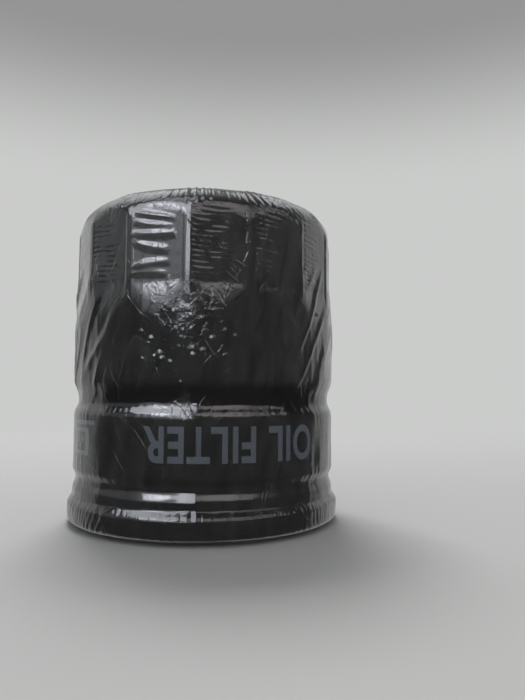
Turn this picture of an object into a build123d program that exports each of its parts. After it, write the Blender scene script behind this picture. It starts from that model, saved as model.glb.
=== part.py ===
from build123d import *
import math
import os

# Spin-on oil filter, millimetres. +Z runs along the filter's axis from the engine to the dome.
# The origin is the centre of the gasket's sealing face, which is the face the filter stands on.

# ---- Can: one drawn steel cup, with a printed band, a groove, and wrench flutes at the dome ----
SHEET = 0.4
TOTAL_H = 91.0
BODY_R = 38.0
SHOULDER_R = 10.0
BODY_Z = 39.9
BODY_BEND_R = 5.0
ROOT_R = 38.05
ROOT_TOP_Z = 10.6
ROOT_BEND_R = 4.0
NECK_R = 37.2
NECK_Z = (12.6, 14.2)
NECK_BEND_R = (4.0, 1.0)
BAND_R = 38.15
BAND_Z = (15.9, 31.4)
BAND_BEND_R = (0.8, 5.0)
GROOVE_R = 36.8
GROOVE_Z = (33.9, 36.4)
GROOVE_BEND_R = (5.0, 4.0)
FLUTE_COUNT = 15
FLUTE_OFFSET = 37.2
FLUTE_WIDTH = 14.6
FLUTE_BOTTOM_Z = 65.0
FLUTE_RUN_OUT = 6.0
FLUTE_START_DEG = 4.8

# ---- Double seam that locks the can to its lid ----
SEAM_GAP = 0.05
SEAM_PITCH = SHEET + SEAM_GAP
SEAM_MID_R = 38.3
SEAM_TURN_Z = 2.5
CAN_HOOK_TOP_Z = 5.2
LID_FOLD_Z = 5.95
LID_HOOK_BOTTOM_Z = 3.0

# ---- Lid, gasket and base plate at the engine end ----
LID_FLOOR_Z = 4.7
LID_LIP_R = 30.5
LID_LIP_BOTTOM_Z = 2.4
GASKET_R = (31.0, 35.5)
GASKET_EDGE = 0.5
PLATE_Z = (5.1, 9.1)
PLATE_R = 37.4
PLATE_CHAMFER = 0.5
SHOULDER_HUB_R = 15.8
SHOULDER_HUB_TOP_Z = 11.4
HUB_R = 12.6
HUB_TOP_Z = 16.0
THREAD_MINOR_R = 9.188
THREAD_CHAMFER = 0.8
INLET_COUNT = 8
INLET_R = 3.0
INLET_CIRCLE_R = 21.0

# ---- Anti-drain valve: a rubber collar with a conical flap that covers the inlet holes ----
REST_GAP = 0.05
COLLAR_R = (12.9, 15.6)
COLLAR_TOP_Z = 14.55
FLAP_ROOT_Z = 12.9
FLAP_T = 1.1
LIP_R = (26.4, 28.2)

# ---- Filter element ----
CAP_SHEET = 0.4
ELEMENT_Z = (14.6, 78.0)
CAP_R = 33.4
CAP_WALL_H = 3.9
CAP_EYE_R = 13.2
CAP_EYE_H = 2.4
TUBE_R = (15.95, 16.45)
TUBE_HOLE_R = 2.2
TUBE_HOLES_ROUND = 10
TUBE_HOLE_ROWS = 9
GLUE_T = 2.2
GLUE_R = (16.55, 32.9)
MEDIA_R = (17.3, 32.3)
PLEATS = 48
PAPER_T = 0.6
CLIP_SHEET = 0.3
CLIP_HALF_WIDTH = 1.2
CLIP_R = (29.2, 32.7)

# ---- Bypass valve, inside the dome end of the element ----
SEAT_HOLE_R = 6.0
SEAL_R = (4.5, 8.5)
SEAL_T = 0.95
POPPET_R = 9.0
POPPET_Z = (75.8, 76.6)
STEM_R = 1.9
STEM_BOTTOM_Z = 60.5
CAGE_R = (10.6, 11.0)
CAGE_FLANGE_R = 14.5
CAGE_BOTTOM_Z = 62.0
GUIDE_HOLE_R = 2.2
CAGE_WINDOWS = 4
CAGE_WINDOW_WIDTH = 9.0
CAGE_WINDOW_Z = (64.5, 75.5)
BYPASS_SPRING_R = 6.2
BYPASS_WIRE = 1.0
BYPASS_TURNS = 4

# ---- Spring between the dome and the element ----
SUPPORT_SPRING_R = (19.5, 14.0)
SUPPORT_WIRE = 2.0
SUPPORT_TURNS = 3

# ---- Clear shrink film round the whole can ----
FILM_T = 0.12
FILM_GAP = 0.1
FILM_TOP_OPENING_R = 24.0
FILM_UNDER_SEAM_R = 36.9

# An outline is cut off at the axis and at its lower end from a form that runs this far past them.
OVERRUN = 6.0


def ring(inner_r, outer_r, bottom_z, top_z):
    """A plain ring about the filter's axis."""
    height = top_z - bottom_z
    outer = Pos(0, 0, bottom_z) * Cylinder(outer_r, height, align=(Align.CENTER, Align.CENTER, Align.MIN))
    inner = Pos(0, 0, bottom_z) * Cylinder(inner_r, height, align=(Align.CENTER, Align.CENTER, Align.MIN))
    return outer - inner


def section_box(inner_r, outer_r, bottom_z, top_z):
    """A rectangle in the half section, with radius along X and height along Z."""
    width = outer_r - inner_r
    height = top_z - bottom_z
    centre = (inner_r + width / 2, bottom_z + height / 2)
    return Plane.XZ * Pos(*centre) * Rectangle(width, height)


def section_bend(centre_r, centre_z, bend_r, upwards):
    """Half a ring of folded sheet in the half section, above its centre or below it."""
    outer_r = bend_r + SHEET / 2
    full = Circle(outer_r) - Circle(bend_r - SHEET / 2)
    side = 1 if upwards else -1
    keep = Pos(0, side * outer_r / 2) * Rectangle(2 * outer_r, outer_r)
    return Plane.XZ * Pos(centre_r, centre_z) * (full & keep)


def spin(section):
    """The solid that a half section makes when it turns about the filter's axis."""
    return revolve(section, axis=Axis.Z, revolution_arc=360)


def can_form():
    """The can's outside as a half section, running past the axis and below the seam."""
    corners = [
        ((-OVERRUN, -OVERRUN), 0),
        ((ROOT_R, -OVERRUN), 0),
        ((ROOT_R, ROOT_TOP_Z), ROOT_BEND_R),
        ((NECK_R, NECK_Z[0]), NECK_BEND_R[0]),
        ((NECK_R, NECK_Z[1]), NECK_BEND_R[1]),
        ((BAND_R, BAND_Z[0]), BAND_BEND_R[0]),
        ((BAND_R, BAND_Z[1]), BAND_BEND_R[1]),
        ((GROOVE_R, GROOVE_Z[0]), GROOVE_BEND_R[0]),
        ((GROOVE_R, GROOVE_Z[1]), GROOVE_BEND_R[1]),
        ((BODY_R, BODY_Z), BODY_BEND_R),
        ((BODY_R, TOTAL_H), SHOULDER_R),
        ((-OVERRUN, TOTAL_H), 0),
    ]
    points = [point for point, bend in corners]
    bends = [bend for point, bend in corners]
    return make_face(FilletPolyline(*points, radius=bends, close=True))


def seam_form():
    """The outside of the seam as a half section."""
    seam_r = SEAM_MID_R + 2 * SEAM_PITCH + SHEET / 2
    seam_bottom_z = SEAM_TURN_Z - 2 * SEAM_PITCH - SHEET / 2
    seam_top_z = LID_FOLD_Z + SEAM_PITCH + SHEET / 2
    height = seam_top_z - seam_bottom_z
    return Pos(seam_r / 2, seam_bottom_z + height / 2) * Rectangle(seam_r, height)


def grown_solid(form, growth, bottom_z):
    """The form's solid, grown outwards by growth (inwards if negative), above bottom_z."""
    grown = offset(form, amount=growth, kind=Kind.INTERSECTION)
    size = 2 * TOTAL_H
    keep = Pos(size / 2, bottom_z + size / 2) * Rectangle(size, size)
    return spin(Plane.XZ * (grown & keep))


def flute_cutters(growth):
    """Tools that leave flats round the dome end, each with a sloped lower end."""
    flat = FLUTE_OFFSET + growth
    outside = BODY_R + OVERRUN
    slope = (BODY_R - FLUTE_OFFSET) / FLUTE_RUN_OUT
    run_out_z = FLUTE_BOTTOM_Z - (outside - flat) / slope
    profile = Polyline(
        (flat, FLUTE_BOTTOM_Z),
        (outside, run_out_z),
        (outside, TOTAL_H + OVERRUN),
        (flat, TOTAL_H + OVERRUN),
        close=True,
    )
    tool = extrude(Plane.XZ * make_face(profile), amount=FLUTE_WIDTH / 2, both=True)
    step = 360 / FLUTE_COUNT
    return [Rot(0, 0, FLUTE_START_DEG + step * turn) * tool for turn in range(FLUTE_COUNT)]


def make_can():
    """Drawn cup with its wall flared into the seam and hooked outwards."""
    outer = grown_solid(can_form(), 0, SEAM_TURN_Z) - flute_cutters(0)
    inner = grown_solid(can_form(), -SHEET, SEAM_TURN_Z) - flute_cutters(-SHEET)
    hook_r = SEAM_MID_R + SEAM_PITCH
    hook = section_bend(SEAM_MID_R, SEAM_TURN_Z, SEAM_PITCH, upwards=False)
    hook += section_box(hook_r - SHEET / 2, hook_r + SHEET / 2, SEAM_TURN_Z, CAN_HOOK_TOP_Z)
    return (outer - inner) + spin(hook)


def make_seaming_lid():
    """Pressed ring that holds the gasket and folds over the can's hook."""
    chuck_r = SEAM_MID_R - 2 * SEAM_PITCH
    wall_r = SEAM_MID_R + 2 * SEAM_PITCH
    fold_r = SEAM_MID_R + SEAM_PITCH
    floor_top_z = LID_FLOOR_Z + SHEET
    section = section_box(chuck_r - SHEET / 2, chuck_r + SHEET / 2, SEAM_TURN_Z, floor_top_z)
    section += section_bend(SEAM_MID_R, SEAM_TURN_Z, 2 * SEAM_PITCH, upwards=False)
    section += section_box(wall_r - SHEET / 2, wall_r + SHEET / 2, SEAM_TURN_Z, LID_FOLD_Z)
    section += section_bend(fold_r, LID_FOLD_Z, SEAM_PITCH, upwards=True)
    section += section_box(SEAM_MID_R - SHEET / 2, SEAM_MID_R + SHEET / 2, LID_HOOK_BOTTOM_Z, LID_FOLD_Z)
    section += section_box(LID_LIP_R, chuck_r, LID_FLOOR_Z, floor_top_z)
    section += section_box(LID_LIP_R, LID_LIP_R + SHEET, LID_LIP_BOTTOM_Z, floor_top_z)
    return spin(section)


def make_seam_compound():
    """Bead of sealing compound over the tip of the can's hook."""
    middle_r = SEAM_MID_R + SEAM_PITCH
    half = SHEET / 2 - 0.02
    return ring(middle_r - half, middle_r + half, CAN_HOOK_TOP_Z + SEAM_GAP, LID_FOLD_Z)


def make_gasket():
    """Rubber sealing ring, standing proud of the seam."""
    body = ring(*GASKET_R, 0, LID_FLOOR_Z)
    lower_edges = body.edges().group_by(Axis.Z)[0]
    return chamfer(lower_edges, GASKET_EDGE)


def make_base_plate():
    """Thick steel plate with a tapped hub and a ring of oil inlets."""
    lower = ring(THREAD_MINOR_R, PLATE_R, *PLATE_Z)
    lower = chamfer(lower.edges().group_by(Axis.Z)[-1].sort_by(SortBy.RADIUS)[-1], PLATE_CHAMFER)
    shoulder = ring(THREAD_MINOR_R, SHOULDER_HUB_R, PLATE_Z[1], SHOULDER_HUB_TOP_Z)
    hub = ring(THREAD_MINOR_R, HUB_R, SHOULDER_HUB_TOP_Z, HUB_TOP_Z)
    plate = lower + shoulder + hub
    mouth_r = THREAD_MINOR_R + THREAD_CHAMFER
    mouth = Cone(mouth_r, THREAD_MINOR_R, THREAD_CHAMFER, align=(Align.CENTER, Align.CENTER, Align.MIN))
    plate -= Pos(0, 0, PLATE_Z[0]) * mouth
    plate -= Pos(0, 0, HUB_TOP_Z) * Rot(180, 0, 0) * mouth
    thickness = PLATE_Z[1] - PLATE_Z[0]
    middle_z = (PLATE_Z[0] + PLATE_Z[1]) / 2
    for place in PolarLocations(INLET_CIRCLE_R, INLET_COUNT):
        plate -= Pos(0, 0, middle_z) * place * Cylinder(INLET_R, 2 * thickness)
    return plate


def make_anti_drain_valve():
    """Rubber collar round the hub, with a conical flap down to the plate outside the inlets."""
    collar_bottom_z = SHOULDER_HUB_TOP_Z + REST_GAP
    lip_bottom_z = PLATE_Z[1] + REST_GAP
    outline = Polyline(
        (COLLAR_R[0], collar_bottom_z),
        (COLLAR_R[1], collar_bottom_z),
        (LIP_R[0], lip_bottom_z),
        (LIP_R[1], lip_bottom_z),
        (LIP_R[1], lip_bottom_z + FLAP_T),
        (COLLAR_R[1], FLAP_ROOT_Z),
        (COLLAR_R[1], COLLAR_TOP_Z),
        (COLLAR_R[0], COLLAR_TOP_Z),
        close=True,
    )
    return spin(Plane.XZ * make_face(outline))


def make_lower_end_cap():
    """Steel cup under the element, with an upturned eye round the hub."""
    bottom_z = ELEMENT_Z[0]
    cap = ring(CAP_EYE_R, CAP_R, bottom_z, bottom_z + CAP_SHEET)
    cap += ring(CAP_R - CAP_SHEET, CAP_R, bottom_z, bottom_z + CAP_WALL_H)
    cap += ring(CAP_EYE_R, CAP_EYE_R + CAP_SHEET, bottom_z, bottom_z + CAP_EYE_H)
    return cap


def make_upper_end_cap():
    """Steel cup over the element, with the bypass valve's seat in its centre."""
    top_z = ELEMENT_Z[1]
    cap = ring(SEAT_HOLE_R, CAP_R, top_z - CAP_SHEET, top_z)
    cap += ring(CAP_R - CAP_SHEET, CAP_R, top_z - CAP_WALL_H, top_z)
    return cap


def make_center_tube():
    """Steel tube that holds the paper off the outlet, with rows of staggered holes."""
    bottom_z = ELEMENT_Z[0] + CAP_SHEET
    top_z = ELEMENT_Z[1] - CAP_SHEET
    tube = ring(*TUBE_R, bottom_z, top_z)
    row_pitch = (top_z - bottom_z) / (TUBE_HOLE_ROWS + 1)
    turn = 360 / TUBE_HOLES_ROUND
    holes = []
    for row in range(TUBE_HOLE_ROWS):
        z = bottom_z + row_pitch * (row + 1)
        for index in range(TUBE_HOLES_ROUND):
            angle = turn * (index + 0.5 * (row % 2))
            across = Pos(TUBE_R[1], 0, 0) * Rot(0, 90, 0) * Cylinder(TUBE_HOLE_R, 4)
            holes.append(Pos(0, 0, z) * Rot(0, 0, angle) * across)
    return tube - holes


def polar(radius, degrees):
    """A point at this radius and angle."""
    return (radius * math.cos(math.radians(degrees)), radius * math.sin(math.radians(degrees)))


def make_pleated_media():
    """Filter paper folded into a star of pleats."""
    pitch = 360 / PLEATS
    fold_outer = math.degrees(PAPER_T / MEDIA_R[1])
    fold_inner = math.degrees(PAPER_T / MEDIA_R[0])
    outside = []
    inside = []
    for pleat in range(PLEATS):
        tip = pleat * pitch
        valley = tip + pitch / 2
        outside.append(polar(MEDIA_R[1], tip - fold_outer))
        outside.append(polar(MEDIA_R[1], tip + fold_outer))
        outside.append(polar(MEDIA_R[0] + PAPER_T, valley))
        inside.append(polar(MEDIA_R[1] - PAPER_T, tip))
        inside.append(polar(MEDIA_R[0], valley - fold_inner))
        inside.append(polar(MEDIA_R[0], valley + fold_inner))
    star = make_face(Polyline(*outside, close=True)) - make_face(Polyline(*inside, close=True))
    bottom_z = ELEMENT_Z[0] + CAP_SHEET + GLUE_T
    top_z = ELEMENT_Z[1] - CAP_SHEET - GLUE_T
    return Pos(0, 0, bottom_z) * extrude(star, amount=top_z - bottom_z)


def make_media_seam_clip():
    """Channel crimped over the pleat where the paper's two ends meet."""
    bottom_z = ELEMENT_Z[0] + CAP_SHEET + GLUE_T + 0.5
    height = ELEMENT_Z[1] - CAP_SHEET - GLUE_T - 0.5 - bottom_z
    align = (Align.MIN, Align.CENTER, Align.MIN)
    depth = CLIP_R[1] - CLIP_R[0]
    outer = Pos(CLIP_R[0], 0, bottom_z) * Box(depth, 2 * CLIP_HALF_WIDTH, height, align=align)
    inner_width = 2 * (CLIP_HALF_WIDTH - CLIP_SHEET)
    inner = Pos(CLIP_R[0], 0, bottom_z) * Box(depth - CLIP_SHEET, inner_width, height, align=align)
    return outer - inner


def make_bypass_cage():
    """Cup that hangs from the upper cap and guides the valve's stem."""
    flange_top_z = ELEMENT_Z[1] - CAP_SHEET
    cage = ring(CAGE_R[0], CAGE_R[1], CAGE_BOTTOM_Z, flange_top_z)
    cage += ring(CAGE_R[0], CAGE_FLANGE_R, flange_top_z - CAP_SHEET, flange_top_z)
    cage += ring(GUIDE_HOLE_R, CAGE_R[1], CAGE_BOTTOM_Z, CAGE_BOTTOM_Z + CAP_SHEET)
    window_height = CAGE_WINDOW_Z[1] - CAGE_WINDOW_Z[0]
    window_z = (CAGE_WINDOW_Z[0] + CAGE_WINDOW_Z[1]) / 2
    for index in range(CAGE_WINDOWS):
        window = Pos(CAGE_R[1], 0, window_z) * Box(4, CAGE_WINDOW_WIDTH, window_height)
        cage -= Rot(0, 0, 360 / CAGE_WINDOWS * index) * window
    return cage


def make_spring(bottom_r, top_r, wire, bottom_z, top_z, turns):
    """Round wire coiled on a cylinder or a cone, between two heights that it stays within."""
    height = top_z - bottom_z - wire
    lean = math.degrees(math.atan2(top_r - bottom_r, height))
    path = Helix(height / turns, height, bottom_r, cone_angle=lean)
    section = Plane(path @ 0, z_dir=path % 0) * Circle(wire / 2)
    return Pos(0, 0, bottom_z + wire / 2) * sweep(section, path=path, is_frenet=True)


def make_bypass_spring():
    """Coil that holds the bypass plate up against its seat."""
    bottom_z = CAGE_BOTTOM_Z + CAP_SHEET + REST_GAP
    top_z = POPPET_Z[0] - REST_GAP
    return make_spring(BYPASS_SPRING_R, BYPASS_SPRING_R, BYPASS_WIRE, bottom_z, top_z, BYPASS_TURNS)


def make_support_spring():
    """Conical coil that presses the element down onto the base plate."""
    bottom_z = ELEMENT_Z[1] + REST_GAP
    top_z = TOTAL_H - SHEET - REST_GAP
    return make_spring(*SUPPORT_SPRING_R, SUPPORT_WIRE, bottom_z, top_z, SUPPORT_TURNS)


def make_shrink_film():
    """Thin clear skin from under the seam, over the wall, to a round opening on the dome."""
    wrapped = can_form() + seam_form()
    bottom_z = -OVERRUN / 2
    outer_growth = FILM_GAP + FILM_T
    outer = grown_solid(wrapped, outer_growth, bottom_z) - flute_cutters(outer_growth)
    inner = grown_solid(wrapped, FILM_GAP, bottom_z) - flute_cutters(FILM_GAP)
    film = outer - inner
    seam_bottom_z = SEAM_TURN_Z - 2 * SEAM_PITCH - SHEET / 2
    film -= ring(0.0, BODY_R + OVERRUN, bottom_z, seam_bottom_z - outer_growth)
    film -= Cylinder(FILM_UNDER_SEAM_R, 2 * ROOT_TOP_Z)
    film -= Pos(0, 0, TOTAL_H) * Cylinder(FILM_TOP_OPENING_R, SHOULDER_R)
    return film


glue_low_z = ELEMENT_Z[0] + CAP_SHEET
glue_high_z = ELEMENT_Z[1] - CAP_SHEET

sub_parts = {
    "can": make_can(),
    "seaming_lid": make_seaming_lid(),
    "seam_compound": make_seam_compound(),
    "gasket": make_gasket(),
    "base_plate": make_base_plate(),
    "anti_drain_valve": make_anti_drain_valve(),
    "lower_end_cap": make_lower_end_cap(),
    "upper_end_cap": make_upper_end_cap(),
    "center_tube": make_center_tube(),
    "lower_glue_ring": ring(*GLUE_R, glue_low_z, glue_low_z + GLUE_T),
    "upper_glue_ring": ring(*GLUE_R, glue_high_z - GLUE_T, glue_high_z),
    "pleated_media": make_pleated_media(),
    "media_seam_clip": make_media_seam_clip(),
    "bypass_seal": ring(*SEAL_R, POPPET_Z[1], POPPET_Z[1] + SEAL_T),
    "bypass_plate": Pos(0, 0, POPPET_Z[0]) * Cylinder(
        POPPET_R, POPPET_Z[1] - POPPET_Z[0], align=(Align.CENTER, Align.CENTER, Align.MIN)
    ),
    "bypass_stem": Pos(0, 0, STEM_BOTTOM_Z) * Cylinder(
        STEM_R, POPPET_Z[0] - STEM_BOTTOM_Z, align=(Align.CENTER, Align.CENTER, Align.MIN)
    ),
    "bypass_cage": make_bypass_cage(),
    "bypass_spring": make_bypass_spring(),
    "support_spring": make_support_spring(),
    "shrink_film": make_shrink_film(),
}

os.makedirs("parts", exist_ok=True)
for node, shape in sub_parts.items():
    shape.label = node
    export_step(shape, f"parts/{node}.step")
    print(node, "solids", len(shape.solids()), "volume", round(shape.volume, 1))
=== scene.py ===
import math

import bmesh
import bpy
import numpy as np
from mathutils import Matrix, Vector


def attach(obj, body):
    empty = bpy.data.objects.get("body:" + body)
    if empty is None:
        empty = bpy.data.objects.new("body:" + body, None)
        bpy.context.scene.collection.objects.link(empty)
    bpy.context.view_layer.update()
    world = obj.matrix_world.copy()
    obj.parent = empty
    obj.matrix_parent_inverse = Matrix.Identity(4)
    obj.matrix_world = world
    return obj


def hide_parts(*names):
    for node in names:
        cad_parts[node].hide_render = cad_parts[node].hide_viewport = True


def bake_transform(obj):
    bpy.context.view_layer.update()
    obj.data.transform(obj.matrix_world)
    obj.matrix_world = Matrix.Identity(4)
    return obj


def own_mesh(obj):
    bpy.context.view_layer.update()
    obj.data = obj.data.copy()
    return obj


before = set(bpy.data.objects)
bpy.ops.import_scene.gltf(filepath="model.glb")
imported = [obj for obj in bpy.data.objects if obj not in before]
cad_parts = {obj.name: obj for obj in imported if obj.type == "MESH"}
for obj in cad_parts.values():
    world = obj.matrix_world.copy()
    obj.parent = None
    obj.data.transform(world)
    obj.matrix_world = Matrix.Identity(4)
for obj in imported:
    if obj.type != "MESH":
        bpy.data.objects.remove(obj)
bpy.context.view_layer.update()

MM = 0.001

# Sizes below are in millimetres in the part's own frame: Z is up, and the gasket's face is at 0.
# Angles round the axis are in degrees, from -Y, the side the camera sees, and positive towards +X.

# ---- The can's outside, as the CAD has it ----
SHEET = 0.4
TOP_Z = 91.0
BODY_R = 38.0
SHOULDER_R = 10.0
ROOT_R = 38.05
NECK_R = 37.2
BAND_R = 38.15
GROOVE_R = 36.8
SEAM_TURN_Z = 2.5
SEAM_MID_R = 38.3
SEAM_PITCH = 0.45
FLUTES = 15
FLUTE_PITCH = 360 / FLUTES
FLUTE_RIDGE = -7.2
FLUTE_FLAT = 37.2
FLUTE_LOW_Z = 65.0
FLUTE_RUN_OUT = 6.0
RIDGE_WHOLE_FROM = 11.3
HOOK_TOP_Z = 5.2
CAN_COLUMNS = 360

# ---- Clear film ----
FILM_GAP = 0.16
FILM_OPENING_R = 24.0
FILM_COLUMNS = 660
FILM_RISE = (-0.06, 0.75)
COARSE_FLUTE = 14
COARSE_RUNG_PITCH = 3.0
RUNGS_Z = (66.5, 84.0)
RIPPLE_PITCH = 1.35
# Patches on the wall: the distance round it from -Y and the height, then half the size of each.
CRUMPLE_AT = (-5.5, 59.5)
CRUMPLE_HALF = (9.5, 9.0)
DOMES_AT = (-5.0, 50.0)
DOMES_HALF = (13.0, 11.5)

# ---- Print on the band ----
PRINT_STANDS = 0.02
PRINT_LOW_Z = 19.8
PRINT_CAP_H = 9.2
PRINT_FROM_DEG = 47.5
PRINT_TO_DEG = -23.5
SIGN_FROM_DEG = -49
SIGN_TO_DEG = -70
SIGN_UP = 0.6

# ---- Engine end ----
GASKET_R = (31.0, 35.5)
LID_FLOOR_Z = 4.7
LID_PAINT_R = 36.6
PLATE_Z = (5.1, 9.1)
PLATE_R = 37.4
SHOULDER_HUB = (15.8, 11.4)
HUB = (12.6, 16.0)
THREAD_MINOR_R = 9.188
THREAD_MAJOR_R = 10.0
THREAD_PITCH = 1.5
THREAD_RELIEF = 0.25
THREAD_ROOT_SHARE = 0.22
THREAD_FLANK_SHARE = 0.62
BORE_R = THREAD_MAJOR_R + 0.35
INLETS = 8
INLET_R = 3.0
INLET_CIRCLE_R = 21.0

# ---- Filter element, bypass valve and springs ----
ELEMENT_Z = (14.6, 78.0)
CAP_R = 33.4
CAP_SHEET = 0.4
CAP_WALL_H = 3.9
CAP_EYE_R = 13.2
CAP_EYE_H = 2.4
SEAT_HOLE_R = 6.0
MEDIA_R = (17.3, 32.3)
MEDIA_Z = (17.2, 75.4)
PLEATS = 48
PAPER_T = 0.6
# Each spring's radius at its bottom and top, its wire, and the heights of its bottom and top.
BYPASS_SPRING = (6.2, 6.2, 1.0, 62.45, 75.75)
BYPASS_TURNS = 4.5
SUPPORT_SPRING = (19.5, 14.0, 2.0, 78.05, 90.55)
SUPPORT_TURNS = 2.2

# ---- Camera and studio ----
CAMERA_AT = (0, -188.6, 37.7)
CAMERA_PITCH = 3.85
CAMERA_YAW = 5.3
CAMERA_ROLL = 0.4
CAMERA_LENS = 31.37
FLOOR_REACH = 2600.0
FLOOR_BEND = 900.0
PANELS_R = 1600
PANELS_Z = 45


# ==== Shapes ====


def rounded(corners, step=0.4):
    """Points along a line whose corners ((r, z), radius) are rounded by arcs, about step apart."""
    line = [np.array(corners[0][0], float)]
    for before, (corner, radius), after in zip(corners, corners[1:], corners[2:]):
        corner = np.array(corner, float)
        back = np.array(before[0], float) - corner
        ahead = np.array(after[0], float) - corner
        back /= np.linalg.norm(back)
        ahead /= np.linalg.norm(ahead)
        turn = math.pi - math.acos(np.clip(back @ ahead, -1, 1))
        if radius <= 0 or turn < 1e-3:
            line.append(corner)
            continue
        reach = radius * math.tan(turn / 2)
        start = corner + back * reach
        middle = corner + (back + ahead) / np.linalg.norm(back + ahead) * radius / math.cos(turn / 2)
        count = max(3, math.ceil(radius * turn / step) + 1)
        side = np.sign(back[0] * ahead[1] - back[1] * ahead[0])
        for bend in np.linspace(0, turn, count):
            c, s = math.cos(-side * bend), math.sin(-side * bend)
            arm = start - middle
            line.append(middle + np.array([c * arm[0] - s * arm[1], s * arm[0] + c * arm[1]]))
    line.append(np.array(corners[-1][0], float))
    return np.array(line)


def spaced(line, step):
    """The same line with points about step apart; step is a number or a function of (r, z)."""
    out = [line[0]]
    for a, b in zip(line, line[1:]):
        length = np.linalg.norm(b - a)
        wanted = step(*((a + b) / 2)) if callable(step) else step
        count = max(1, round(length / wanted))
        out += [a + (b - a) * i / count for i in range(1, count + 1)]
    return np.array(out)


def mesh_object(name, points_mm, faces):
    """A smooth-shaded mesh object from points in millimetres."""
    mesh = bpy.data.meshes.new(name)
    mesh.from_pydata((np.asarray(points_mm) * MM).tolist(), [], faces)
    mesh.validate()
    mesh.update()
    for polygon in mesh.polygons:
        polygon.use_smooth = True
    obj = bpy.data.objects.new(name, mesh)
    bpy.context.scene.collection.objects.link(obj)
    return obj


def around(columns):
    """The angle of each column of a turned mesh, in degrees."""
    return np.arange(columns) * 360 / columns - 180


def on_axis(r, z, angle):
    """Points at these radii, heights and angles."""
    turn = np.radians(angle)
    r, z, turn = np.broadcast_arrays(r, z, turn)
    return np.stack([r * np.sin(turn), -r * np.cos(turn), z], axis=-1)


def turned(name, grid, closed_section=False):
    """A mesh from a grid of points (rows, columns, 3) that closes round the axis.
    A first or last row on the axis becomes one point. closed_section joins the last row to the first."""
    rows, columns = grid.shape[:2]
    pole = [np.hypot(grid[i, :, 0], grid[i, :, 1]).max() < 1e-6 for i in (0, -1)]
    points = []
    index = np.zeros((rows, columns), int)
    for row in range(rows):
        if (row == 0 and pole[0]) or (row == rows - 1 and pole[1]):
            index[row] = len(points)
            points.append(grid[row, 0])
            continue
        index[row] = np.arange(columns) + len(points)
        points.extend(grid[row])
    after = np.roll(np.arange(columns), -1)
    faces = []
    pairs = [(row, row + 1) for row in range(rows - 1)]
    if closed_section:
        pairs.append((rows - 1, 0))
    for low, high in pairs:
        quads = np.stack([index[low], index[high], index[high][after], index[low][after]], axis=-1)
        faces.extend(list(dict.fromkeys(quad)) for quad in quads.tolist())
    return mesh_object(name, np.array(points), faces)


def lathe(name, section, columns=256, closed_section=True):
    """A ring or bowl turned from a section of (r, z) points."""
    grid = on_axis(section[:, 0][:, None], section[:, 1][:, None], around(columns)[None, :])
    return turned(name, grid, closed_section)


def closed_rounded(corners, step):
    """A closed section whose corners are rounded."""
    return rounded([corners[-1], *corners, corners[0]], step)[1:-1]


# ==== Repeatable noise ====


NOISE_ROWS = 512


def noise(u, v, seed, wrap):
    """Smooth noise from -1 to 1 that repeats every wrap units of u."""
    table = np.random.default_rng(seed).uniform(-1, 1, (wrap, NOISE_ROWS))
    u, v = np.broadcast_arrays(u, v)
    iu, iv = np.floor(u).astype(int), np.floor(v).astype(int)
    fu, fv = u - iu, v - iv
    fu = fu * fu * (3 - 2 * fu)
    fv = fv * fv * (3 - 2 * fv)
    left, right = iu % wrap, (iu + 1) % wrap
    low, high = iv % NOISE_ROWS, (iv + 1) % NOISE_ROWS
    a, b = table[left, low], table[right, low]
    c, d = table[left, high], table[right, high]
    return (a * (1 - fu) + b * fu) * (1 - fv) + (c * (1 - fu) + d * fu) * fv


def step_up(x, low, high):
    """0 below low, 1 above high, smooth between."""
    t = np.clip((np.asarray(x, float) - low) / (high - low), 0, 1)
    return t * t * (3 - 2 * t)


def bump(x, low, high, soft):
    """1 between low and high, fading to 0 over soft on each side."""
    return step_up(x, low - soft, low) * (1 - step_up(x, high, high + soft))


def wrapped(angle, centre=0.0):
    """The angle from centre, from -180 to 180."""
    return (np.asarray(angle, float) - centre + 180) % 360 - 180


# ==== Can ====

CAN_CORNERS = [
    ((0.0, TOP_Z), 0),
    ((BODY_R, TOP_Z), SHOULDER_R),
    ((BODY_R, 39.9), 5.0),
    ((GROOVE_R, 36.4), 4.0),
    ((GROOVE_R, 33.9), 5.0),
    ((BAND_R, 31.4), 5.0),
    ((BAND_R, 15.9), 0.8),
    ((NECK_R, 14.2), 1.0),
    ((NECK_R, 12.6), 4.0),
    ((ROOT_R, 10.6), 4.0),
    ((ROOT_R, SEAM_TURN_Z), 0),
]


def soft_min(a, b, width):
    """The smaller of a and b, with a rounded corner about width deep."""
    h = np.clip(0.5 + 0.5 * (b - a) / width, 0, 1)
    return b * (1 - h) + a * h - width * h * (1 - h)


def flute_place(angle):
    """The angle from the middle of the nearest flute."""
    middle = FLUTE_RIDGE + FLUTE_PITCH / 2
    return (np.asarray(angle, float) - middle + FLUTE_PITCH / 2) % FLUTE_PITCH - FLUTE_PITCH / 2


def fluted(r, z, angle, inset=0.0, soften=0.16, ridge_from=10.4):
    """The radius once the wrench flutes are pressed into it. The flats end in a slope below
    FLUTE_LOW_Z, and ridges stand between them from ridge_from degrees off a flute's middle."""
    place = flute_place(angle)
    run_out = np.clip(FLUTE_LOW_Z - z, 0, None) * (BODY_R - FLUTE_FLAT) / FLUTE_RUN_OUT
    flat = (FLUTE_FLAT - inset + run_out) / np.cos(np.radians(place))
    ridge = step_up(np.abs(place), ridge_from, RIDGE_WHOLE_FROM)
    flat = flat + ridge * (BODY_R + 1.0 - FLUTE_FLAT)
    return np.where(z > FLUTE_LOW_Z - 2 * FLUTE_RUN_OUT, soft_min(r, flat, soften), r)


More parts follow.
